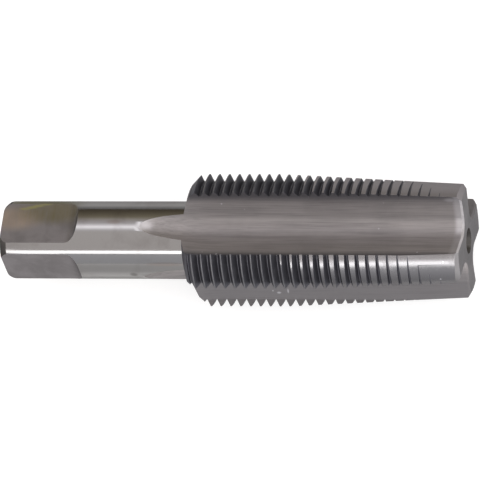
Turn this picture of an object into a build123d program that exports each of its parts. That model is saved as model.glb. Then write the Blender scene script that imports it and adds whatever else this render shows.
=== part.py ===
from build123d import *

import os
from math import acos, atan, ceil, cos, degrees, pi, radians, sin, tan

# Hand tap with a tapered lead, one solid of hardened tool steel.
#
# The tap lies along X, with the drive square at -X and the cutting tip at +X. It rests on
# the edges of its two lower lands, and the origin is under the middle of its length.
# While it is made, X = 0 is the square end and the axis is the X axis. Angles about the
# axis run from +Y towards +Z.

# Overall, mm
overall_length = 70.0
thread_diameter = 20.0
thread_pitch = 1.5
shank_diameter = 11.55

# Threaded body
thread_start = 27.75  # from the square end to the foot of the back face
back_face_length = 0.85
back_face_radius = 8.6
back_chamfer_length = 1.5
groove_angle = 60.0
crest_flat = 0.18
first_groove = 27.75  # from the square end to the first groove, on the +Y side

# Lead: the crests are ground to a cone that falls away behind each cutting edge
lead_length = 21.3  # at the cutting edge
lead_half_angle = 3.0
crest_relief = 0.32  # drop of the cone from the cutting edge to the heel
tip_chamfer_length = 0.65
tip_chamfer_depth = 1.0

# Flutes
flute_count = 4
land_angle = 35.0
core_radius = 3.9
flute_root_angle = 21.2  # from the cutting face to the deepest line of the flute
runout_start = 33.6  # from the square end to where the flute's floor starts to rise
flute_mill_radius = 40.0

# Drive square
square_across_flats = 9.3
square_length = 10.0
square_shoulder_radius = 2.2
square_turn = 16.3  # from the middle of a flute to the middle of a flat
end_chamfer_length = 1.0
end_chamfer_depth = 0.8

# Centre holes, one at each end
centre_diameter = 3.8
centre_angle = 60.0
pilot_diameter = 1.6
pilot_depth = 4.0
drill_point_angle = 118.0

clearance = 1.0  # how far cutters stand out past the metal

thread_radius = thread_diameter / 2
shank_radius = shank_diameter / 2
cutter_reach = thread_radius + clearance
flute_pitch = 360.0 / flute_count
flute_half = (flute_pitch - land_angle) / 2
lead_fall = tan(radians(lead_half_angle))
groove_slope = tan(radians(groove_angle / 2))
groove_depth = (thread_pitch - crest_flat) / 2 / groove_slope


def at(radius, angle):
    """Point of the cross section, given as (Y, Z)."""
    return Vector(radius * cos(radians(angle)), radius * sin(radians(angle)))


def turned(points, arc=360.0):
    """Solid turned about the X axis from a closed outline of (X, radius) points."""
    return revolve(make_face(Polyline(*points, close=True)), Axis.X, revolution_arc=arc)


def around(shape):
    """One copy of a shape for each flute."""
    return [Rot(X=i * flute_pitch) * shape for i in range(flute_count)]


def blank():
    """Shank and threaded body as they leave the lathe."""
    tip_radius = thread_radius - lead_length * lead_fall
    chamfer_foot = overall_length - tip_chamfer_length
    back_face_end = thread_start + back_face_length
    outline = [
        (0, 0),
        (0, shank_radius - end_chamfer_depth),
        (end_chamfer_length, shank_radius),
        (thread_start, shank_radius),
        (back_face_end, back_face_radius),
        (back_face_end + back_chamfer_length, thread_radius),
        (overall_length - lead_length, thread_radius),
        (chamfer_foot, tip_radius + tip_chamfer_length * lead_fall),
        (overall_length, tip_radius - tip_chamfer_depth),
        (overall_length, 0),
    ]
    return turned(outline)


def centre_hole():
    """Centre drilling with its mouth on the plane X = 0, running to +X."""
    mouth_radius = centre_diameter / 2
    pilot_radius = pilot_diameter / 2
    cone_depth = (mouth_radius - pilot_radius) / tan(radians(centre_angle / 2))
    point_length = pilot_radius / tan(radians(drill_point_angle / 2))
    outline = [
        (0, 0),
        (0, mouth_radius),
        (cone_depth, pilot_radius),
        (pilot_depth, pilot_radius),
        (pilot_depth + point_length, 0),
    ]
    return turned(outline)


def relief_cutter(land):
    """What grinding takes off one land: all that lies outside a cone set off the axis."""
    middle = (land + 0.5) * flute_pitch
    offset = crest_relief / 2 / sin(radians(land_angle / 2))
    lead_start = overall_length - lead_length
    back = lead_start - (clearance + crest_relief + offset) / lead_fall
    front = overall_length + clearance
    back_radius = thread_radius + (lead_start - back) * lead_fall - crest_relief / 2
    front_radius = thread_radius + (lead_start - front) * lead_fall - crest_relief / 2
    shift = at(offset, middle + 90)
    cone = turned([(back, 0), (back, back_radius), (front, front_radius), (front, 0)])
    sector = turned([(back, 0), (back, cutter_reach), (front, cutter_reach), (front, 0)], flute_pitch)
    return Rot(X=land * flute_pitch) * sector - Pos(0, shift.X, shift.Y) * cone


def flute_section():
    """Section of the flute whose middle points to +Z, and the height of its floor.

    The cutting face is radial. An arc joins it to a straight heel wall.
    """
    face_angle = 90 - flute_half
    root_angle = face_angle + flute_root_angle
    share = sin(radians(flute_root_angle))
    centre_distance = core_radius / (1 - share)
    root_radius = centre_distance * share
    centre = at(centre_distance, root_angle)
    face_foot = at(centre_distance * cos(radians(flute_root_angle)), face_angle)
    heel = at(thread_radius, 90 + flute_half)
    to_heel = heel - centre
    tangent_turn = degrees(acos(root_radius / to_heel.length))
    heel_foot = centre + to_heel.normalized().rotate(Axis.Z, tangent_turn) * root_radius
    heel_end = heel + (heel - heel_foot).normalized() * 2 * clearance
    face_end = at(thread_radius + 2 * clearance, face_angle)
    outline = [
        Line(face_end, face_foot),
        ThreePointArc(face_foot, at(core_radius, root_angle), heel_foot),
        Line(heel_foot, heel_end),
        Line(heel_end, face_end),
    ]
    return make_face(Curve() + outline), centre.Y - root_radius


def flute_cutter():
    """One milled flute: a straight run from the tip, then the arc where the mill lifts out."""
    section, floor_height = flute_section()
    section = Pos(runout_start, 0, 0) * (Plane.YZ * section)
    run = extrude(section, overall_length + clearance - runout_start, dir=(1, 0, 0))
    mill_axis = Axis((runout_start, 0, floor_height + flute_mill_radius), (0, 1, 0))
    rise = cutter_reach - floor_height
    lift = degrees(acos(1 - rise / flute_mill_radius))
    return run + revolve(section, mill_axis, revolution_arc=lift)


def groove_cutter(land):
    """One thread groove over one land: a ring segment turned by the lead angle.

    Over the width of one land this ring follows the helix to a few microns.
    """
    mouth_depth = groove_depth + crest_flat / 2
    mouth_half = mouth_depth * groove_slope
    root_radius = thread_radius - groove_depth
    mouth_radius = root_radius + mouth_depth
    outline = [
        (0, root_radius),
        (-mouth_half, mouth_radius),
        (mouth_half, mouth_radius),
    ]
    reach = land_angle + flute_half
    lead_angle = degrees(atan(thread_pitch / (pi * thread_diameter)))
    segment = Rot(Z=lead_angle) * Rot(X=-reach / 2) * turned(outline, reach)
    return Rot(X=(land + 0.5) * flute_pitch) * segment


def groove_cutters():
    """Right-hand thread: a land's grooves sit a quarter pitch on from those of the last."""
    turns = ceil((overall_length - first_groove) / thread_pitch)
    cutters = []
    for land in range(flute_count):
        segment = groove_cutter(land)
        first = first_groove + (land + 0.5) / flute_count * thread_pitch
        cutters += [Pos(first + turn * thread_pitch, 0, 0) * segment for turn in range(-1, turns)]
    return cutters


def flat_cutter():
    """Block that leaves the flat facing +Z, with the mill's round at the shoulder."""
    flat_height = square_across_flats / 2
    top = shank_radius + clearance
    shoulder = square_length + square_shoulder_radius
    shoulder_top = flat_height + square_shoulder_radius
    outline = [
        Line((-clearance, top), (-clearance, flat_height)),
        Line((-clearance, flat_height), (square_length, flat_height)),
        RadiusArc((square_length, flat_height), (shoulder, shoulder_top), -square_shoulder_radius),
        Line((shoulder, shoulder_top), (shoulder, top)),
        Line((shoulder, top), (-clearance, top)),
    ]
    side = Plane.XZ * make_face(Curve() + outline)
    return extrude(side, shank_radius, both=True)


tap = blank()
tap -= centre_hole()
tap -= Pos(overall_length, 0, 0) * Rot(Z=180) * centre_hole()
tap -= [relief_cutter(land) for land in range(flute_count)]
tap -= around(flute_cutter())
tap -= [Rot(X=side * 90 - square_turn) * flat_cutter() for side in range(4)]
tap -= groove_cutters()

axis_height = -tap.bounding_box().min.Z
os.makedirs("parts", exist_ok=True)
export_step(Pos(-overall_length / 2, 0, axis_height) * tap, "parts/thread_tap.step")
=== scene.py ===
from math import acos, ceil, cos, degrees, pi, radians, sin, tan

import bmesh
import bpy
from mathutils import Matrix, Vector
from mathutils.geometry import interpolate_bezier


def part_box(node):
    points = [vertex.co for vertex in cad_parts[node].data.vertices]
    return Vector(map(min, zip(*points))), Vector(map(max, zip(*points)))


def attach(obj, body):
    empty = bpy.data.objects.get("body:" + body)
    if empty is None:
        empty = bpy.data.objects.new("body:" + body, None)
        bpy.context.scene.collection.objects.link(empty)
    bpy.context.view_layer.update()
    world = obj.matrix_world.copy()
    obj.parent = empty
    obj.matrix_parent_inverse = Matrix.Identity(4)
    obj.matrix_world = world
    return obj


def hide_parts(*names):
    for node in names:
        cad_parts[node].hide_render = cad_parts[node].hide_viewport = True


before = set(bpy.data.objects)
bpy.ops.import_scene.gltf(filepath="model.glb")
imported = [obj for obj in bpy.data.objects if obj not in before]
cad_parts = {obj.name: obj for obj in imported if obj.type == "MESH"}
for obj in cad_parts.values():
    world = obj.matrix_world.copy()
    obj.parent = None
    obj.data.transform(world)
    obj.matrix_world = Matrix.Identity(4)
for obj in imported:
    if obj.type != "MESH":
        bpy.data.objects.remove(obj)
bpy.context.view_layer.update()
print("frame loaded")

# The tap is made in millimetres about the X axis, with X = 0 at the square end.
# Angles about the axis run from +Y towards +Z, and a flute faces straight up.
boxLow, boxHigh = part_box("thread_tap")
tap = {
    "length": (boxHigh.x - boxLow.x) * 1000,
    "axisHeight": 8.9,  # above the ground
    "threadRadius": 10.0,
    "shankRadius": 5.775,
    "reach": 11.0,  # how far out the cutters go
    "overrun": 1.0,  # how far cutters run past an end
    "roundSteps": 192,
    "longestRun": 2.5,  # long runs are divided, so that the shading stays even near cuts
}


def onCircle(x, radius, angle):
    return Vector((x, radius * cos(radians(angle)), radius * sin(radians(angle))))


def wire(bm, points):
    # closed loop of edges through the points
    verts = [bm.verts.new(point) for point in points]
    edges = [bm.edges.new(pair) for pair in zip(verts, verts[1:] + verts[:1])]
    return verts, edges


def newPiece(name, bm, materials):
    mesh = bpy.data.meshes.new(name)
    bm.to_mesh(mesh)
    bm.free()
    for material in materials:
        mesh.materials.append(material)
    piece = bpy.data.objects.new(name, mesh)
    bpy.context.scene.collection.objects.link(piece)
    return piece


def closeUp(bm):
    # caps every open rim, then points the faces outwards
    rims = [edge for edge in bm.edges if edge.is_boundary]
    if rims:
        bmesh.ops.holes_fill(bm, edges=rims, sides=0)
    bmesh.ops.recalc_face_normals(bm, faces=bm.faces)
    if bm.calc_volume(signed=True) < 0:
        bmesh.ops.reverse_faces(bm, faces=bm.faces)


def cutAway(body, cutters):
    for cutter in cutters:
        cut = body.modifiers.new(cutter.name, "BOOLEAN")
        cut.operation = "DIFFERENCE"
        cut.solver = "EXACT"
        cut.material_mode = "TRANSFER"
        cut.object = cutter
    graph = bpy.context.evaluated_depsgraph_get()
    finished = bpy.data.meshes.new_from_object(body.evaluated_get(graph))
    body.modifiers.clear()
    body.data = finished
    for cutter in cutters:
        bpy.data.objects.remove(cutter)
    print("cut", len(finished.vertices), "points")


def addNode(tree, kind, inputs=None, **settings):
    node = tree.nodes.new("ShaderNode" + kind)
    for name, value in settings.items():
        setattr(node, name, value)
    for name, value in (inputs or {}).items():
        if isinstance(value, bpy.types.NodeSocket):
            tree.links.new(value, node.inputs[name])
        else:
            node.inputs[name].default_value = value
    return node


def addMath(tree, operation, *values, clamp=False):
    node = addNode(tree, "Math", dict(enumerate(values)), operation=operation, use_clamp=clamp)
    return node.outputs[0]


def addVector(tree, operation, *values):
    return addNode(tree, "VectorMath", dict(enumerate(values)), operation=operation).outputs


def addStep(tree, value, low, high):
    # smooth rise from 0 at low to 1 at high
    return addNode(tree, "MapRange", {"Value": value, "From Min": low, "From Max": high},
                   interpolation_type="SMOOTHSTEP").outputs[0]


def addMix(tree, share, first, second):
    node = addNode(tree, "Mix", {0: share}, data_type="RGBA")
    for socket, colour in ((node.inputs[6], first), (node.inputs[7], second)):
        if isinstance(colour, bpy.types.NodeSocket):
            tree.links.new(colour, socket)
        else:
            socket.default_value = (*colour, 1)
    return node.outputs[2]


def addRamp(tree, value, stops, low, high):
    # blends colours given at places between low and high
    share = addMath(tree, "DIVIDE", addMath(tree, "SUBTRACT", value, low), high - low)
    ramp = addNode(tree, "ValToRGB", {"Fac": share})
    elements = ramp.color_ramp.elements
    while len(elements) < len(stops):
        elements.new(0.5)
    for element, (position, colour) in zip(elements, stops):
        element.position = (position - low) / (high - low)
        element.color = (*colour, 1)
    return ramp.outputs[0]


def addAxes(tree, place):
    # along the tap, across it and up
    return addNode(tree, "SeparateXYZ", {"Vector": place}).outputs


def addRadius(tree, place):
    # distance from the tap's axis
    return addVector(tree, "LENGTH", addVector(tree, "MULTIPLY", place, (0, 1, 1))[0])["Value"]


def newGroup(name, inputs, output):
    group = bpy.data.node_groups.new(name, "ShaderNodeTree")
    for label, value in inputs.items():
        kind = "NodeSocketVector" if isinstance(value, tuple) else "NodeSocketFloat"
        socket = group.interface.new_socket(name=label, in_out="INPUT", socket_type=kind)
        socket.default_value = value
    group.interface.new_socket(name=output, in_out="OUTPUT", socket_type="NodeSocketFloat")
    given = group.nodes.new("NodeGroupInput").outputs
    return group, given, group.nodes.new("NodeGroupOutput").inputs[output]


def addGroup(tree, group, **inputs):
    node = tree.nodes.new("ShaderNodeGroup")
    node.node_tree = group
    for name, value in inputs.items():
        if isinstance(value, bpy.types.NodeSocket):
            tree.links.new(value, node.inputs[name])
        else:
            node.inputs[name].default_value = value
    return node.outputs[0]


def makeToolMarks():
    # fine lines left by a wheel or cutter: lines per metre along X and across it
    group, given, lines = newGroup("toolMarks", {
        "Place": (0, 0, 0), "Along": 100.0, "Across": 4000.0}, "Lines")
    spread = addNode(group, "CombineXYZ", {"X": given["Along"], "Y": given["Across"], "Z": given["Across"]})
    place = addVector(group, "MULTIPLY", given["Place"], spread.outputs[0])[0]
    noise = addNode(group, "TexNoise", {"Vector": place, "Scale": 1.0, "Detail": 3.0, "Roughness": 0.65})
    group.links.new(noise.outputs["Fac"], lines)
    return group


def makePatches():
    # soft-edged blotches that cover a share of the surface
    group, given, mask = newGroup("patches", {
        "Place": (0, 0, 0), "Scale": 500.0, "Cover": 0.3, "Edge": 0.1}, "Mask")
    noise = addNode(group, "TexNoise", {"Vector": given["Place"], "Scale": given["Scale"], "Detail": 4.0,
                                        "Roughness": 0.6, "Distortion": 0.4})
    limit = addMath(group, "SUBTRACT", 1.0, given["Cover"])
    low = addMath(group, "SUBTRACT", limit, given["Edge"])
    high = addMath(group, "ADD", limit, given["Edge"])
    spread = addNode(group, "MapRange", {"Value": noise.outputs["Fac"], "From Min": 0.3, "From Max": 0.7})
    group.links.new(addStep(group, spread.outputs[0], low, high), mask)
    return group


def makeSpot():
    # 1 at a centre, fading to 0 at a distance from it on each axis
    group, given, mask = newGroup("spot", {
        "Place": (0, 0, 0), "Centre": (0, 0, 0), "Size": (1, 1, 1)}, "Mask")
    away = addVector(group, "SUBTRACT", given["Place"], given["Centre"])[0]
    share = addVector(group, "LENGTH", addVector(group, "DIVIDE", away, given["Size"])[0])["Value"]
    group.links.new(addMath(group, "SUBTRACT", 1.0, addStep(group, share, 0.3, 1.0)), mask)
    return group


def makeEdgeWearAndHighlight():
    # 1 on edges that stand out, where wear and a painted highlight brighten a small width
    group, given, mask = newGroup("edgeWearAndHighlight", {
        "Place": (0, 0, 0), "Width": 0.0001, "Amount": 1.0}, "Mask")
    rounded = addNode(group, "Bevel", {"Radius": given["Width"]}, samples=4)
    unrounded = addNode(group, "NewGeometry")
    match = addVector(group, "DOT_PRODUCT", rounded.outputs[0], unrounded.outputs["Normal"])["Value"]
    edge = addStep(group, addMath(group, "SUBTRACT", 1.0, match), 0.01, 0.2)
    noise = addNode(group, "TexNoise", {"Vector": given["Place"], "Scale": 900.0, "Detail": 2.0})
    broken = addStep(group, noise.outputs["Fac"], 0.35, 0.6)
    wornAndHighlight = addMath(group, "MULTIPLY", edge, broken)
    group.links.new(addMath(group, "MULTIPLY", wornAndHighlight, given["Amount"]), mask)
    return group


def makeSpecks():
    # small scattered dots, such as nicks and dust
    group, given, mask = newGroup("specks", {
        "Place": (0, 0, 0), "Scale": 1500.0, "Share": 0.05, "Size": 0.2}, "Mask")
    cells = addNode(group, "TexVoronoi", {"Vector": given["Place"], "Scale": given["Scale"]})
    pick = addNode(group, "SeparateColor", {"Color": cells.outputs["Color"]}).outputs[0]
    chosen = addMath(group, "LESS_THAN", pick, given["Share"])
    near = addMath(group, "SUBTRACT", 1.0, addStep(group, cells.outputs["Distance"], 0.0, given["Size"]))
    group.links.new(addMath(group, "MULTIPLY", near, chosen), mask)
    return group


toolMarks = makeToolMarks()
patches = makePatches()
spot = makeSpot()
edgeWearAndHighlight = makeEdgeWearAndHighlight()
specks = makeSpecks()
print("shader groups ready")


# What all the steels share
steel = {
    "metallic": 1.0,
    "specularTint": (0.4, 0.4, 0.4, 1),
    "softEdge": 0.00005,
    "softEdgeSamples": 4,
}


def newSteel(name, metallic=steel["metallic"]):
    material = bpy.data.materials.new(name)
    material.use_nodes = True
    tree = material.node_tree
    shader = tree.nodes["Principled BSDF"]
    shader.inputs["Metallic"].default_value = metallic
    shader.inputs["Specular Tint"].default_value = steel["specularTint"]
    place = addNode(tree, "TexCoord").outputs["Object"]
    centred = addNode(tree, "Mapping", {"Vector": place, "Location": (0, 0, -tap["axisHeight"] / 1000)})
    return material, tree, shader, centred.outputs[0]


def finishSteel(tree, shader, colour, roughness, height, depth):
    tree.links.new(colour, shader.inputs["Base Color"])
    tree.links.new(roughness, shader.inputs["Roughness"])
    rounded = addNode(tree, "Bevel", {"Radius": steel["softEdge"]}, samples=steel["softEdgeSamples"])
    bump = addNode(tree, "Bump", {"Height": height, "Distance": depth, "Normal": rounded.outputs[0]})
    tree.links.new(bump.outputs[0], shader.inputs["Normal"])


def addSpot(tree, place, centre, size):
    # centre and size in millimetres, with the centre measured from the middle of the tap's axis
    return addGroup(tree, spot, Place=place, Centre=[value / 1000 for value in centre],
                    Size=[value / 1000 for value in size])


def addStains(tree, place, colour, stains, cover=None):
    # each stain has a colour, a share, a centre and a size
    for stain, share, centre, size in stains:
        mask = addMath(tree, "MULTIPLY", addSpot(tree, place, centre, size), share)
        if cover:
            mask = addMath(tree, "MULTIPLY", mask, cover)
        colour = addMix(tree, mask, colour, stain)
    return colour


def addPaintedLightAndShade(tree, across, colour, paintedLightAndShade):
    # painted light and shade: shares of the colour at places across the tap in millimetres
    stops = [(place / 1000, (tone, tone * 0.99, tone * 0.98)) for place, tone in paintedLightAndShade]
    return addVector(tree, "MULTIPLY", colour, addRamp(tree, across, stops, -0.01, 0.01))[0]


# Ground shank, with an oil film that has dried above the drive square, and painted light and shade in bands
# across it
shankFinish = {
    "colour": (0.3, 0.297, 0.297),
    "dull": (0.24, 0.232, 0.23),
    # painted light and shade: lighter and darker bands across the tap
    "paintedLightAndShade": [(-5.77, 1.45), (-5.64, 1.0), (-5.41, 0.64), (-5.1, 0.6), (-4.82, 0.63), (-4.64, 0.7),
              (-4.56, 1.0), (-4.0, 1.06), (-3.7, 1.1), (-3.0, 1.0), (1.9, 1.0), (2.45, 0.88), (2.97, 0.8),
              (3.43, 0.72), (3.54, 0.27), (3.8, 0.44), (4.18, 0.74), (4.9, 1.0), (5.5, 1.12)],
    "oil": (0.13, 0.12, 0.07),
    "oilShare": 0.85,
    "oilCentre": (-29.5, 4.8, 3.0),
    "oilSize": (8.5, 2.6, 4.0),
    "stains": [
        ((0.06, 0.055, 0.05), 0.45, (-15.0, -5.6, 1.2), (0.8, 0.8, 0.8)),
        ((0.2, 0.15, 0.125), 0.3, (-9.8, -4.65, 3.4), (4.0, 0.6, 0.5)),
        ((0.2, 0.15, 0.125), 0.35, (-17.5, 1.2, 5.6), (1.6, 0.5, 0.5)),
    ],
    "roughness": 0.07,
    "lineDepth": 0.000001,
}


def makeShankSteel():
    material, tree, shader, place = newSteel("groundShank")
    rings = addGroup(tree, toolMarks, Place=place, Along=9000.0, Across=150.0)
    film = addGroup(tree, patches, Place=place, Scale=160.0, Cover=0.22, Edge=0.35)
    colour = addMix(tree, film, shankFinish["colour"], shankFinish["dull"])
    # painted light and shade in bands across the tap
    colour = addPaintedLightAndShade(tree, addAxes(tree, place)["Y"], colour, shankFinish["paintedLightAndShade"])
    oil = addSpot(tree, place, shankFinish["oilCentre"], shankFinish["oilSize"])
    oil = addMath(tree, "MULTIPLY", oil, shankFinish["oilShare"])
    colour = addMix(tree, oil, colour, shankFinish["oil"])
    colour = addStains(tree, place, colour, shankFinish["stains"])
    roughness = addMath(tree, "MULTIPLY_ADD", film, 0.1, shankFinish["roughness"])
    roughness = addMath(tree, "MULTIPLY_ADD", rings, 0.05, roughness)
    roughness = addMath(tree, "MULTIPLY_ADD", oil, 0.3, roughness)
    finishSteel(tree, shader, colour, roughness, rings, shankFinish["lineDepth"])
    return material


# Crests: as turned on the body, ground on the lead, duller and a little darker on the rear side
crestFinish = {
    "turned": (0.17, 0.168, 0.175),
    "turnedFilm": (0.11, 0.11, 0.118),
    "turnedRoughness": 0.45,
    "turnedLineDepth": 0.000003,
    "ground": (0.27, 0.266, 0.275),
    "film": (0.247, 0.236, 0.244),
    "rearFrom": 0.002,
    "rearTo": 0.004,
    # painted shade: the lead's crests darker towards the front
    "paintedLightAndShade": [(-8.2, 0.5), (-7.9, 0.53), (-7.48, 0.6), (-7.03, 0.76), (-6.57, 0.9), (-6.2, 1.0)],
    "groundRoughness": 0.15,
    "groundLineDepth": 0.0000015,
    "chip": (0.6, 0.59, 0.61),
    "chipShare": 0.03,
    "moreChips": 0.22,  # added to the share in the chipped spots
    "chippedSpots": [((31.6, -6.5, 5.5), (1.2, 4.0, 4.0)), ((27.6, -2.9, 8.7), (2.0, 1.6, 1.6))],
}


def makeTurnedCrest():
    material, tree, shader, place = newSteel("turnedCrest")
    rings = addGroup(tree, toolMarks, Place=place, Along=7000.0, Across=300.0)
    film = addGroup(tree, patches, Place=place, Scale=400.0, Cover=0.4, Edge=0.4)
    colour = addMix(tree, film, crestFinish["turned"], crestFinish["turnedFilm"])
    roughness = addMath(tree, "MULTIPLY_ADD", rings, 0.15, crestFinish["turnedRoughness"])
    finishSteel(tree, shader, colour, roughness, rings, crestFinish["turnedLineDepth"])
    return material


def makeGroundCrest():
    material, tree, shader, place = newSteel("groundCrest")
    rings = addGroup(tree, toolMarks, Place=place, Along=7000.0, Across=200.0)
    film = addGroup(tree, patches, Place=place, Scale=260.0, Cover=0.25, Edge=0.3)
    across = addAxes(tree, place)["Y"]
    rear = addStep(tree, across, crestFinish["rearFrom"], crestFinish["rearTo"])
    dull = addMath(tree, "MAXIMUM", addMath(tree, "MULTIPLY", film, 0.4), rear)
    chipped = addMath(tree, "MAXIMUM", *[addSpot(tree, place, *chips) for chips in crestFinish["chippedSpots"]])
    share = addMath(tree, "MULTIPLY_ADD", chipped, crestFinish["moreChips"], crestFinish["chipShare"])
    dots = addGroup(tree, specks, Place=place, Scale=1800.0, Share=share, Size=0.35)
    colour = addMix(tree, dull, crestFinish["ground"], crestFinish["film"])
    # painted shade on the crests towards the front
    colour = addPaintedLightAndShade(tree, across, colour, crestFinish["paintedLightAndShade"])
    colour = addMix(tree, dots, colour, crestFinish["chip"])
    roughness = addMath(tree, "MULTIPLY_ADD", dull, 0.3, crestFinish["groundRoughness"])
    roughness = addMath(tree, "MULTIPLY_ADD", rings, 0.06, roughness)
    finishSteel(tree, shader, colour, roughness, rings, crestFinish["groundLineDepth"])
    return material


# Ends: the tip is clean, the square end and both centre holes are near black
endFinish = {
    "clean": (0.225, 0.219, 0.224),
    "cleanFilm": (0.19, 0.185, 0.19),
    "nearBlack": (0.05, 0.047, 0.045),
    "nearBlackFilm": (0.09, 0.085, 0.08),
    "roughness": 0.4,
    "grainDepth": 0.000006,
}


def makeEndSteel(name):
    material, tree, shader, place = newSteel(name + "End")
    grain = addGroup(tree, toolMarks, Place=place, Along=1200.0, Across=1200.0)
    film = addGroup(tree, patches, Place=place, Scale=300.0, Cover=0.5, Edge=0.4)
    colour = addMix(tree, film, endFinish[name], endFinish[name + "Film"])
    roughness = addMath(tree, "MULTIPLY_ADD", grain, 0.2, endFinish["roughness"])
    finishSteel(tree, shader, colour, roughness, grain, endFinish["grainDepth"])
    return material


# Thread flanks, dark from hardening, with a painted highlight along the bottom of the groove
flankFinish = {
    "colour": (0.08, 0.08, 0.092),
    "wornAndHighlight": (0.14, 0.138, 0.152),
    "bottomRadius": 0.00907,
    "bottomFade": 0.00014,
    "rear": (0.032, 0.031, 0.033),
    "rearFrom": 0.0055,
    "rearTo": 0.008,
    "rearShare": 0.35,
    "edge": (0.32, 0.315, 0.33),
    "edgeWidth": 0.00006,
    "edgeAmount": 0.5,
    "metallic": 0.8,
    "roughness": 0.36,
    "lineDepth": 0.000004,
}


def makeFlankSteel():
    material, tree, shader, place = newSteel("threadFlank", flankFinish["metallic"])
    turnedMarks = addGroup(tree, toolMarks, Place=place, Along=6000.0, Across=250.0)
    film = addGroup(tree, patches, Place=place, Scale=450.0, Cover=0.35, Edge=0.3)
    # painted highlight along the bottom of the groove
    bottom = addStep(tree, addRadius(tree, place), flankFinish["bottomRadius"],
                     flankFinish["bottomRadius"] - flankFinish["bottomFade"])
    bright = addMath(tree, "MULTIPLY_ADD", film, 0.35, addMath(tree, "MULTIPLY", bottom, 0.3), clamp=True)
    colour = addMix(tree, bright, flankFinish["colour"], flankFinish["wornAndHighlight"])
    rear = addStep(tree, addAxes(tree, place)["Y"], flankFinish["rearFrom"], flankFinish["rearTo"])
    rear = addMath(tree, "MULTIPLY", rear, flankFinish["rearShare"])
    colour = addMix(tree, rear, colour, flankFinish["rear"])
    # edges brightened by wear and a painted highlight
    edges = addGroup(tree, edgeWearAndHighlight, Place=place, Width=flankFinish["edgeWidth"],
                     Amount=flankFinish["edgeAmount"])
    colour = addMix(tree, edges, colour, flankFinish["edge"])
    roughness = addMath(tree, "MULTIPLY_ADD", turnedMarks, 0.2, flankFinish["roughness"])
    finishSteel(tree, shader, colour, roughness, turnedMarks, flankFinish["lineDepth"])
    return material


# Flutes: milled and ground lengthwise
fluteFinish = {
    "colour": (0.31, 0.294, 0.293),
    "streak": (0.215, 0.204, 0.206),
    # painted light: lighter in a band just in front of the axis
    "paintedLightAndShade": [(-6, 1.0), (-3.9, 1.35), (-3.0, 1.12), (-2.0, 1.2), (-1.06, 1.35), (-0.44, 1.28), (0.2, 1.0)],
    # painted shade: darker on the walls below the tap's axis
    "low": (0.18, 0.174, 0.18),  # below the tap's axis
    "underShadeShare": 0.85,
    "edge": (0.13, 0.125, 0.133),  # along the upper edges of the flutes
    "edgeFrom": 0.0074,
    "edgeTo": 0.0092,
    # painted highlights at the tip and where the mill lifted out, and bright in a few scratches
    "bright": (0.72, 0.71, 0.74),
    "brightShare": 0.3,
    "tipFrom": 0.0334,
    "tipTo": 0.0342,
    "highlightAndScratchSpots": [
        ((-13.4, 0.5, 5.6), (2.6, 2.0, 2.0)),
        ((33.4, 4.0, 7.3), (1.5, 0.5, 0.7)),
        ((5.2, -6.85, -3.3), (0.2, 0.2, 0.2)),
        ((6.1, -7.0, -3.6), (0.45, 0.25, 0.25)),
        ((7.5, -6.9, -3.3), (0.2, 0.6, 0.5)),
    ],
    "roughness": 0.54,
    "streakDepth": 0.000007,
}


def makeFluteSteel():
    material, tree, shader, place = newSteel("fluteWall")
    fine = addGroup(tree, toolMarks, Place=place, Along=120.0, Across=5500.0)
    broad = addGroup(tree, toolMarks, Place=place, Along=60.0, Across=1100.0)
    film = addGroup(tree, patches, Place=place, Scale=140.0, Cover=0.4, Edge=0.4)
    dark = addMath(tree, "MULTIPLY", film, 0.3)
    dark = addMath(tree, "MULTIPLY_ADD", addStep(tree, broad, 0.4, 0.65), 0.45, dark)
    dark = addMath(tree, "MULTIPLY_ADD", addStep(tree, fine, 0.45, 0.75), 0.45, dark, clamp=True)
    colour = addMix(tree, dark, fluteFinish["colour"], fluteFinish["streak"])
    along, across, height = addAxes(tree, place)
    # painted light in a band just in front of the axis
    colour = addPaintedLightAndShade(tree, across, colour, fluteFinish["paintedLightAndShade"])
    # painted shade below the tap's axis
    paintedUnderShade = addMath(tree, "MULTIPLY", addStep(tree, height, 0.001, -0.003), fluteFinish["underShadeShare"])
    colour = addMix(tree, paintedUnderShade, colour, fluteFinish["low"])
    edge = addStep(tree, addRadius(tree, place), fluteFinish["edgeFrom"], fluteFinish["edgeTo"])
    edge = addMath(tree, "MULTIPLY", edge, addStep(tree, height, 0.0, 0.003))
    colour = addMix(tree, edge, colour, fluteFinish["edge"])
    # painted highlight across the upper part of the flutes at the tip
    atTip = addStep(tree, along, fluteFinish["tipFrom"], fluteFinish["tipTo"])
    paintedHighlightsAndScratches = addMath(tree, "MULTIPLY", atTip, addStep(tree, height, -0.001, 0.003))
    for centre, size in fluteFinish["highlightAndScratchSpots"]:
        paintedHighlightsAndScratches = addMath(tree, "MAXIMUM", paintedHighlightsAndScratches, addSpot(tree, place, centre, size))
    bright = addMath(tree, "MULTIPLY", paintedHighlightsAndScratches, fluteFinish["brightShare"])
    colour = addMix(tree, bright, colour, fluteFinish["bright"])
    dots = addGroup(tree, specks, Place=place, Scale=900.0, Share=0.03, Size=0.2)
    colour = addMix(tree, dots, colour, fluteFinish["bright"])
    roughness = addMath(tree, "MULTIPLY_ADD", fine, 0.2, fluteFinish["roughness"])
    roughness = addMath(tree, "MULTIPLY_ADD", paintedHighlightsAndScratches, -0.12, roughness)
    streaks = addMath(tree, "ADD", fine, addMath(tree, "MULTIPLY", broad, 1.5))
    finishSteel(tree, shader, colour, roughness, streaks, fluteFinish["streakDepth"])
    return material


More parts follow.
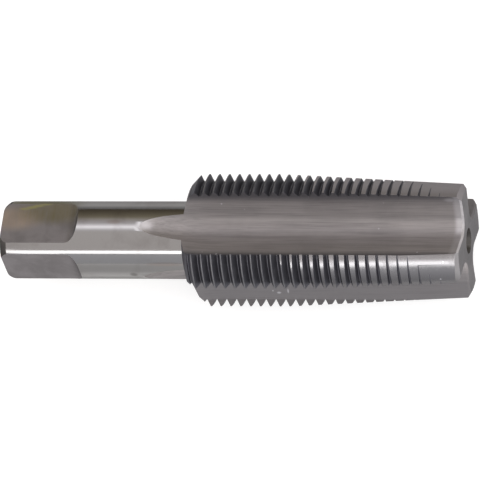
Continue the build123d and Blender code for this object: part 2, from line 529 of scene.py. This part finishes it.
# Milled flats, stained by oil
flatFinish = {
    "colour": (0.21, 0.199, 0.203),
    "film": (0.17, 0.161, 0.163),
    "stains": [
        ((0.34, 0.275, 0.215), 0.8, (-33.2, 2.1, 4.25), (5.6, 2.7, 3.0)),
        ((0.145, 0.127, 0.07), 0.8, (-27.2, 3.2, 3.9), (8.0, 2.9, 3.0)),
        # a yellow streak of dried oil, drawn out in four spots
        ((0.3, 0.29, 0.11), 0.6, (-31.7, 3.72, 3.7), (1.2, 0.3, 3.0)),
        ((0.3, 0.29, 0.11), 0.7, (-30.7, 3.96, 3.7), (1.2, 0.3, 3.0)),
        ((0.3, 0.29, 0.11), 0.7, (-29.7, 4.22, 3.6), (1.2, 0.3, 3.0)),
        ((0.3, 0.29, 0.11), 0.6, (-28.6, 4.5, 3.5), (1.3, 0.3, 3.0)),
    ],
    "roughness": 0.36,
    "lineDepth": 0.000004,
}


def makeFlatSteel():
    material, tree, shader, place = newSteel("milledFlat")
    cutterMarks = addGroup(tree, toolMarks, Place=place, Along=1400.0, Across=120.0)
    film = addGroup(tree, patches, Place=place, Scale=320.0, Cover=0.45, Edge=0.4)
    broken = addMath(tree, "MULTIPLY_ADD", cutterMarks, 0.9, 0.35, clamp=True)
    colour = addMix(tree, film, flatFinish["colour"], flatFinish["film"])
    colour = addStains(tree, place, colour, flatFinish["stains"], broken)
    roughness = addMath(tree, "MULTIPLY_ADD", cutterMarks, 0.15, flatFinish["roughness"])
    finishSteel(tree, shader, colour, roughness, cutterMarks, flatFinish["lineDepth"])
    return material


shankSteel = makeShankSteel()
turnedCrest = makeTurnedCrest()
groundCrest = makeGroundCrest()
tipSteel = makeEndSteel("clean")
nearBlackSteel = makeEndSteel("nearBlack")
flankSteel = makeFlankSteel()
fluteSteel = makeFluteSteel()
flatSteel = makeFlatSteel()
print("steels ready")

# Blank: shank, back chamfer, threaded body and lead as they leave the lathe
blank = {
    # places along the tap and radii round the edge of the square end
    "endRound": [(0, 4.97), (0.12, 5.2), (0.4, 5.45), (0.75, 5.68), (1.15, 5.775)],
    "threadStart": 27.95,
    "shoulderX": 28.9,
    "shoulderRadius": 8.6,
    "fullX": 30.25,
    "leadStart": 48.7,
    "leadAngle": 3.0,
    "tipChamferLength": 0.65,
    "tipChamferDepth": 1.0,
    "holeRadius": 1.9,
    "pilotRadius": 0.8,
    "pilotDepth": 4.0,
    "holeAngle": 60.0,
    "drillAngle": 118.0,
}
leadFall = tan(radians(blank["leadAngle"]))


def centreHole():
    # depths and radii from the bottom of the pilot to the mouth
    coneDepth = (blank["holeRadius"] - blank["pilotRadius"]) / tan(radians(blank["holeAngle"] / 2))
    point = blank["pilotRadius"] / tan(radians(blank["drillAngle"] / 2))
    return [
        (blank["pilotDepth"] + point, 0),
        (blank["pilotDepth"], blank["pilotRadius"]),
        (coneDepth, blank["pilotRadius"]),
        (0, blank["holeRadius"]),
    ]


def makeBlank():
    length = tap["length"]
    chamferX = length - blank["tipChamferLength"]
    chamferRadius = tap["threadRadius"] - (chamferX - blank["leadStart"]) * leadFall
    tipRadius = tap["threadRadius"] - (length - blank["leadStart"]) * leadFall - blank["tipChamferDepth"]
    outline = centreHole() + blank["endRound"] + [
        (blank["threadStart"], tap["shankRadius"]),
        (blank["shoulderX"], blank["shoulderRadius"]),
        (blank["fullX"], tap["threadRadius"]),
        (blank["leadStart"], tap["threadRadius"]),
        (chamferX, chamferRadius),
        (length, tipRadius),
    ]
    outline += [(length - depth, radius) for depth, radius in reversed(centreHole())]
    bm = bmesh.new()
    verts = [bm.verts.new((x, radius, 0)) for x, radius in outline]
    edges = [bm.edges.new(pair) for pair in zip(verts, verts[1:])]
    for edge in edges:
        cuts = int(edge.calc_length() / tap["longestRun"])
        if cuts:
            bmesh.ops.subdivide_edges(bm, edges=[edge], cuts=cuts)
    bmesh.ops.spin(bm, geom=bm.verts[:] + bm.edges[:], cent=(0, 0, 0), axis=(1, 0, 0), angle=radians(360),
                   steps=tap["roundSteps"], use_merge=True)
    bmesh.ops.remove_doubles(bm, verts=bm.verts, dist=1e-4)
    bmesh.ops.dissolve_degenerate(bm, edges=bm.edges, dist=1e-4)
    closeUp(bm)
    steels = [shankSteel, nearBlackSteel, tipSteel, turnedCrest, flankSteel, groundCrest]
    for face in bm.faces:
        middle = face.calc_center_median()
        radius = Vector((middle.y, middle.z)).length
        if middle.x < blank["endRound"][-1][0] or radius < blank["holeRadius"]:
            finish = nearBlackSteel
        elif middle.x < blank["threadStart"]:
            finish = shankSteel
        elif middle.x < blank["fullX"]:
            finish = flankSteel
        elif middle.x < chamferX:
            finish = turnedCrest
        else:
            finish = tipSteel if face.normal.x > 0.99 else groundCrest
        face.material_index = steels.index(finish)
    return newPiece("thread_tap_dressed", bm, steels)


# Relief: the lead's crests fall away behind each cutting edge, because each is ground on a cone set off
# the axis
lands = {
    "count": 4,
    "angle": 35.0,
    "relief": 0.32,
    "reliefSweep": 80.0,
    "reliefSteps": 96,
}
landPitch = 360 / lands["count"]
fluteHalf = (landPitch - lands["angle"]) / 2


def makeReliefCutter():
    offset = lands["relief"] / 2 / sin(radians(lands["angle"] / 2))
    front = tap["length"] + tap["overrun"]
    fullRadius = tap["threadRadius"] - lands["relief"] / 2
    frontRadius = fullRadius - (front - blank["leadStart"]) * leadFall
    back = blank["leadStart"] - (tap["reach"] - fullRadius) / leadFall
    bm = bmesh.new()
    for land in range(lands["count"]):
        middle = (land + 0.5) * landPitch
        centre = onCircle(0, offset, middle + 90)
        start = middle - lands["reliefSweep"] / 2
        corners = [(back, tap["reach"]), (front, frontRadius), (front, tap["reach"])]
        verts, edges = wire(bm, [centre + onCircle(x, radius, start) for x, radius in corners])
        bmesh.ops.spin(bm, geom=verts + edges, cent=centre, axis=(1, 0, 0),
                       angle=radians(lands["reliefSweep"]), steps=lands["reliefSteps"])
    closeUp(bm)
    return newPiece("relief", bm, [groundCrest])


# Flutes: a hooked cutting face, a round floor and a straight heel wall
flute = {
    "coreRadius": 3.9,
    "rootAngle": 21.2,  # from the cutting face to the deepest line of the floor
    "undercut": 1.6,  # how far round the cutting edge sits back, in degrees
    "hook": 9.0,
    "hookStart": 14.0,
    "hookPull": 1.75,
    "hookSteps": 12,
    "floorSteps": 20,
    "runoutStart": 33.6,
    "millRadius": 40.0,
    "runoutSteps": 40,
    "heelEase": 2.1,  # how far round the heel wall stands off below its edge, in degrees
    "heelEaseRadius": 9.0,
    "tipBevelLength": 0.3,
    "tipBevelDepth": 0.3,
    "tipBevelAtEdges": 0.4,  # share of the depth that the outer edges have
    "endDepth": 0.36,  # at the cutter's own end, past the tip
}
cutterTop = tap["reach"] + tap["overrun"]  # the flute cutter ends well outside the metal


def fluteOutline(x, grow):
    # section of the flute that faces up, with its walls moved out by grow, less towards the outer edges
    faceAngle = 90 - fluteHalf
    rootShare = sin(radians(flute["rootAngle"]))
    distance = flute["coreRadius"] / (1 - rootShare)
    radius = distance * rootShare
    centre = onCircle(0, distance, faceAngle + flute["rootAngle"])
    heel = onCircle(0, tap["threadRadius"], 90 + fluteHalf)
    heelWall = onCircle(0, flute["heelEaseRadius"], 90 + fluteHalf + flute["heelEase"])
    toHeel = heelWall - centre
    turn = degrees(acos(radius / toHeel.length))
    heelTurn = degrees(Vector((toHeel.y, toHeel.z)).angle_signed(Vector((1, 0)))) + turn
    hookTurn = faceAngle - 90 - flute["hookStart"]
    if heelTurn > hookTurn:
        heelTurn -= 360
    hookFoot = centre + onCircle(0, radius, hookTurn)
    edge = onCircle(0, tap["threadRadius"], faceAngle - flute["undercut"])
    edgeRun = onCircle(0, 1, faceAngle + flute["hook"])
    pull = flute["hookPull"]
    face = interpolate_bezier(edge, edge - edgeRun * pull, hookFoot + onCircle(0, pull, hookTurn + 90),
                              hookFoot, flute["hookSteps"] + 1)
    # points of the section, each with the direction in which the cutter grows
    walls = [(edge + edgeRun * (cutterTop - edge.length), onCircle(0, 1, faceAngle + flute["hook"] - 90))]
    for step, point in enumerate(face[:-1]):
        run = face[step] - face[step + 1]
        walls.append((point, Vector((0, run.z, -run.y)).normalized()))
    for step in range(flute["floorSteps"] + 1):
        angle = hookTurn + (heelTurn - hookTurn) * step / flute["floorSteps"]
        walls.append((centre + onCircle(0, radius, angle), onCircle(0, 1, angle)))
    heelRun = (heel - heelWall).normalized()
    for point in (heelWall, heel, heel + heelRun * (cutterTop - heel.length)):
        walls.append((point, walls[-1][1]))
    points = []
    for point, outwards in walls:
        near = (point.length - flute["coreRadius"]) / (tap["threadRadius"] - flute["coreRadius"])
        share = 1 - (1 - flute["tipBevelAtEdges"]) * min(max(near, 0), 1)
        points.append(point + outwards * grow * share + Vector((x, 0, 0)))
    return points


def makeFluteCutter():
    bm = bmesh.new()
    start = flute["runoutStart"]
    run = tap["length"] - flute["tipBevelLength"] - start
    runs = ceil(run / tap["longestRun"])
    rings = [(start + run * step / runs, 0) for step in range(runs + 1)]
    rings += [(tap["length"], flute["tipBevelDepth"]), (tap["length"] + tap["overrun"], flute["endDepth"])]
    loops = [wire(bm, fluteOutline(x, grow)) for x, grow in rings]
    for (_, near), (_, far) in zip(loops, loops[1:]):
        bmesh.ops.bridge_loops(bm, edges=near + far)
    base, baseEdges = loops[0]
    floor = flute["coreRadius"]
    lift = acos(1 - (cutterTop - floor) / flute["millRadius"])
    bmesh.ops.spin(bm, geom=base + baseEdges, cent=(start, 0, floor + flute["millRadius"]), axis=(0, 1, 0),
                   angle=lift, steps=flute["runoutSteps"])
    bmesh.ops.remove_doubles(bm, verts=bm.verts, dist=1e-5)
    closeUp(bm)
    first = bm.verts[:] + bm.edges[:] + bm.faces[:]
    for turn in range(1, lands["count"]):
        copy = bmesh.ops.duplicate(bm, geom=first)["geom"]
        copyVerts = [part for part in copy if isinstance(part, bmesh.types.BMVert)]
        bmesh.ops.rotate(bm, verts=copyVerts, cent=(0, 0, 0),
                         matrix=Matrix.Rotation(radians(turn * landPitch), 3, "X"))
    return newPiece("flutes", bm, [fluteSteel])


# Drive square
square = {
    "acrossFlats": 9.3,
    "length": 10.0,
    "shoulderRadius": 2.2,
    "shoulderSteps": 12,
    "endBreak": 0.25,
    "turn": 16.3,  # from the middle of a flute to the middle of a flat
}


def makeFlatCutter(side):
    height = square["acrossFlats"] / 2
    top = tap["shankRadius"] + tap["overrun"]
    bm = bmesh.new()
    shoulderStart = bm.verts.new((square["length"], 0, height))
    shoulderCentre = (square["length"], 0, height + square["shoulderRadius"])
    arc = bmesh.ops.spin(bm, geom=[shoulderStart], cent=shoulderCentre, axis=(0, 1, 0), angle=radians(-90),
                         steps=square["shoulderSteps"])
    shoulderEnd = arc["geom_last"][0]
    breakFoot = height - square["endBreak"] - tap["overrun"]
    corners = [(shoulderEnd.co.x, 0, top), (-tap["overrun"], 0, top), (-tap["overrun"], 0, breakFoot),
               (square["endBreak"], 0, height)]
    chain = [shoulderEnd] + [bm.verts.new(corner) for corner in corners] + [shoulderStart]
    for pair in zip(chain, chain[1:]):
        bm.edges.new(pair)
    bmesh.ops.translate(bm, verts=bm.verts, vec=(0, -tap["shankRadius"], 0))
    bmesh.ops.spin(bm, geom=bm.verts[:] + bm.edges[:], cent=(0, 0, 0), axis=(1, 0, 0), angle=0,
                   dvec=(0, tap["shankRadius"] * 2, 0), steps=1)
    closeUp(bm)
    bmesh.ops.rotate(bm, verts=bm.verts, cent=(0, 0, 0),
                     matrix=Matrix.Rotation(radians(side * 90 - square["turn"]), 3, "X"))
    return newPiece("flat" + str(side), bm, [flatSteel])


# Thread: one right-hand groove wound from behind the back chamfer to past the tip
thread = {
    "pitch": 1.5,
    "crest": 0.18,
    "depth": 1.03,
    "angle": 60.0,
    "start": 26.08,  # where the groove crosses the +Y side
    "turnSteps": 96,
}


def makeThreadCutter():
    slope = tan(radians(thread["angle"] / 2))
    rootRadius = tap["threadRadius"] - thread["depth"]
    mouthRadius = tap["threadRadius"] + thread["crest"] / 2
    rootHalf = (thread["pitch"] - thread["crest"]) / 2 - thread["depth"] * slope
    mouthHalf = rootHalf + (mouthRadius - rootRadius) * slope
    turns = ceil((tap["length"] + tap["overrun"] - thread["start"]) / thread["pitch"]) - 0.5
    steps = round(turns * thread["turnSteps"])
    section = [(-mouthHalf, mouthRadius), (-rootHalf, rootRadius), (rootHalf, rootRadius),
               (mouthHalf, mouthRadius)]
    bm = bmesh.new()
    verts, edges = wire(bm, [(thread["start"] + x, radius, 0) for x, radius in section])
    bmesh.ops.spin(bm, geom=verts + edges, cent=(0, 0, 0), axis=(1, 0, 0), angle=radians(360 * turns),
                   dvec=(thread["pitch"] / thread["turnSteps"], 0, 0), steps=steps)
    closeUp(bm)
    return newPiece("groove", bm, [flankSteel])


body = makeBlank()
print("blank turned")
cutAway(body, [makeReliefCutter()])
cutAway(body, [makeFluteCutter()])
cutAway(body, [makeFlatCutter(side) for side in range(4)])
cutAway(body, [makeThreadCutter()])

# Into place, in metres
mesh = body.data
mesh.transform(Matrix.Translation((boxLow.x, 0, tap["axisHeight"] / 1000)) @ Matrix.Scale(0.001, 4))
bm = bmesh.new()
bm.from_mesh(mesh)
bmesh.ops.remove_doubles(bm, verts=bm.verts, dist=2e-7)
bmesh.ops.dissolve_degenerate(bm, edges=bm.edges, dist=2e-7)
print("open edges", sum(not edge.is_manifold for edge in bm.edges), "volume", bm.calc_volume() * 1e9)
bm.to_mesh(mesh)
bm.free()
mesh.shade_smooth()
mesh.set_sharp_from_angle(angle=radians(30))
print("triangles", sum(len(face.vertices) - 2 for face in mesh.polygons))

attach(body, "root")
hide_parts("thread_tap")

# Floor: pale, white where it is seen or reflected, with the shadow kept
floor = {
    "size": 3.0,
    "colour": 0.8,
    "seenColour": 0.45,
    "seenGlow": 0.66,
}


def makeFloor():
    paint = bpy.data.materials.new("paleFloor")
    paint.use_nodes = True
    tree = paint.node_tree
    shader = tree.nodes["Principled BSDF"]
    shader.inputs["Roughness"].default_value = 0.9
    shader.inputs["Specular IOR Level"].default_value = 0.0
    path = addNode(tree, "LightPath").outputs
    seen = addMath(tree, "MAXIMUM", path["Is Camera Ray"], path["Is Glossy Ray"])
    seen = addMath(tree, "MAXIMUM", seen, path["Is Transmission Ray"])
    colour = addMix(tree, seen, (floor["colour"],) * 3, (floor["seenColour"],) * 3)
    tree.links.new(colour, shader.inputs["Base Color"])
    shader.inputs["Emission Color"].default_value = (1, 1, 1, 1)
    tree.links.new(addMath(tree, "MULTIPLY", seen, floor["seenGlow"]), shader.inputs["Emission Strength"])
    bm = bmesh.new()
    bmesh.ops.create_grid(bm, x_segments=1, y_segments=1, size=floor["size"] / 2)
    return newPiece("floor", bm, [paint])


makeFloor()
print("floor laid")

# Room: its glow, by the angle about the tap's axis from the front horizon over the top to the rear one
room = {
    "glow": [
        (0, (0.73, 0.73, 0.76)), (30, (0.73, 0.73, 0.76)), (46, (1.0, 0.95, 0.93)), (98, (1.02, 0.97, 0.95)),
        (102, (1.1, 1.06, 1.07)), (105, (1.3, 1.26, 1.3)), (108, (1.7, 1.66, 1.72)), (111, (2.2, 2.16, 2.25)),
        (114, (2.5, 2.46, 2.54)), (117, (2.05, 2.0, 2.08)), (120, (1.6, 1.55, 1.61)), (123, (1.3, 1.25, 1.28)),
        (126, (1.0, 0.96, 0.98)), (130, (0.92, 0.87, 0.87)), (134, (0.8, 0.75, 0.73)), (139, (0.72, 0.66, 0.6)),
        (143, (0.54, 0.49, 0.4)), (148, (0.42, 0.37, 0.27)), (162, (0.29, 0.25, 0.18)),
        (175, (0.2, 0.165, 0.12)),
    ],
    "lampDistance": 0.8,
    "strip": {"height": 38.5, "turn": 0.0, "size": (2.0, 0.115), "glow": 3.7},
    "side": {"height": 85.0, "turn": 45.0, "size": (0.6, 1.1), "glow": 1.4},
}


def makeRoom():
    world = bpy.data.worlds.new("studio")
    bpy.context.scene.world = world
    world.use_nodes = True
    tree = world.node_tree
    way = addNode(tree, "SeparateXYZ", {"Vector": addNode(tree, "TexCoord").outputs["Generated"]}).outputs
    turn = addMath(tree, "ARCTAN2", way["Z"], addMath(tree, "MULTIPLY", way["Y"], -1.0))
    glow = addRamp(tree, addMath(tree, "DEGREES", turn), room["glow"], 0, 180)
    tree.links.new(glow, tree.nodes["Background"].inputs["Color"])


def aimed(towards):
    # turn of a lamp or camera that stands in the direction towards and looks back, level with the tap
    side = Vector((1, 0, 0))
    side = (side - towards * side.dot(towards)).normalized()
    return Matrix((side, towards.cross(side), towards)).transposed().to_4x4()


def softLight(name):
    given = room[name]
    lamp = bpy.data.lights.new(name, "AREA")
    lamp.shape = "RECTANGLE"
    lamp.size, lamp.size_y = given["size"]
    lamp.energy = given["glow"] * lamp.size * lamp.size_y * pi
    holder = bpy.data.objects.new(name, lamp)
    bpy.context.scene.collection.objects.link(holder)
    height, turn = radians(given["height"]), radians(given["turn"])
    towards = Vector((sin(turn), -cos(height) * cos(turn), sin(height) * cos(turn)))
    holder.matrix_world = Matrix.Translation(towards * room["lampDistance"]) @ aimed(towards)


makeRoom()
softLight("strip")
softLight("side")

# Camera
shot = {
    "lookX": 0.0005,
    "lookUp": 0.000044,  # above the tap's axis, up the image
    "towards": (0.230, -0.2633, 0.9369),
    "distance": 1.0,
    "lens": 507.0,
    "sensorWidth": 36,
    "roll": 0.13,
}

camera = bpy.data.objects.new("camera", bpy.data.cameras.new("camera"))
bpy.context.scene.collection.objects.link(camera)
camera.data.lens = shot["lens"]
camera.data.sensor_width = shot["sensorWidth"]
towards = Vector(shot["towards"]).normalized()
turned = aimed(towards)
up = turned.col[1].to_3d()
look = Vector((shot["lookX"], 0, tap["axisHeight"] / 1000)) + up * shot["lookUp"]
roll = Matrix.Rotation(radians(shot["roll"]), 4, "Z")
camera.matrix_world = Matrix.Translation(look + towards * shot["distance"]) @ turned @ roll
bpy.context.scene.camera = camera
bpy.context.scene.view_settings.view_transform = "Standard"
print("lights and camera set")
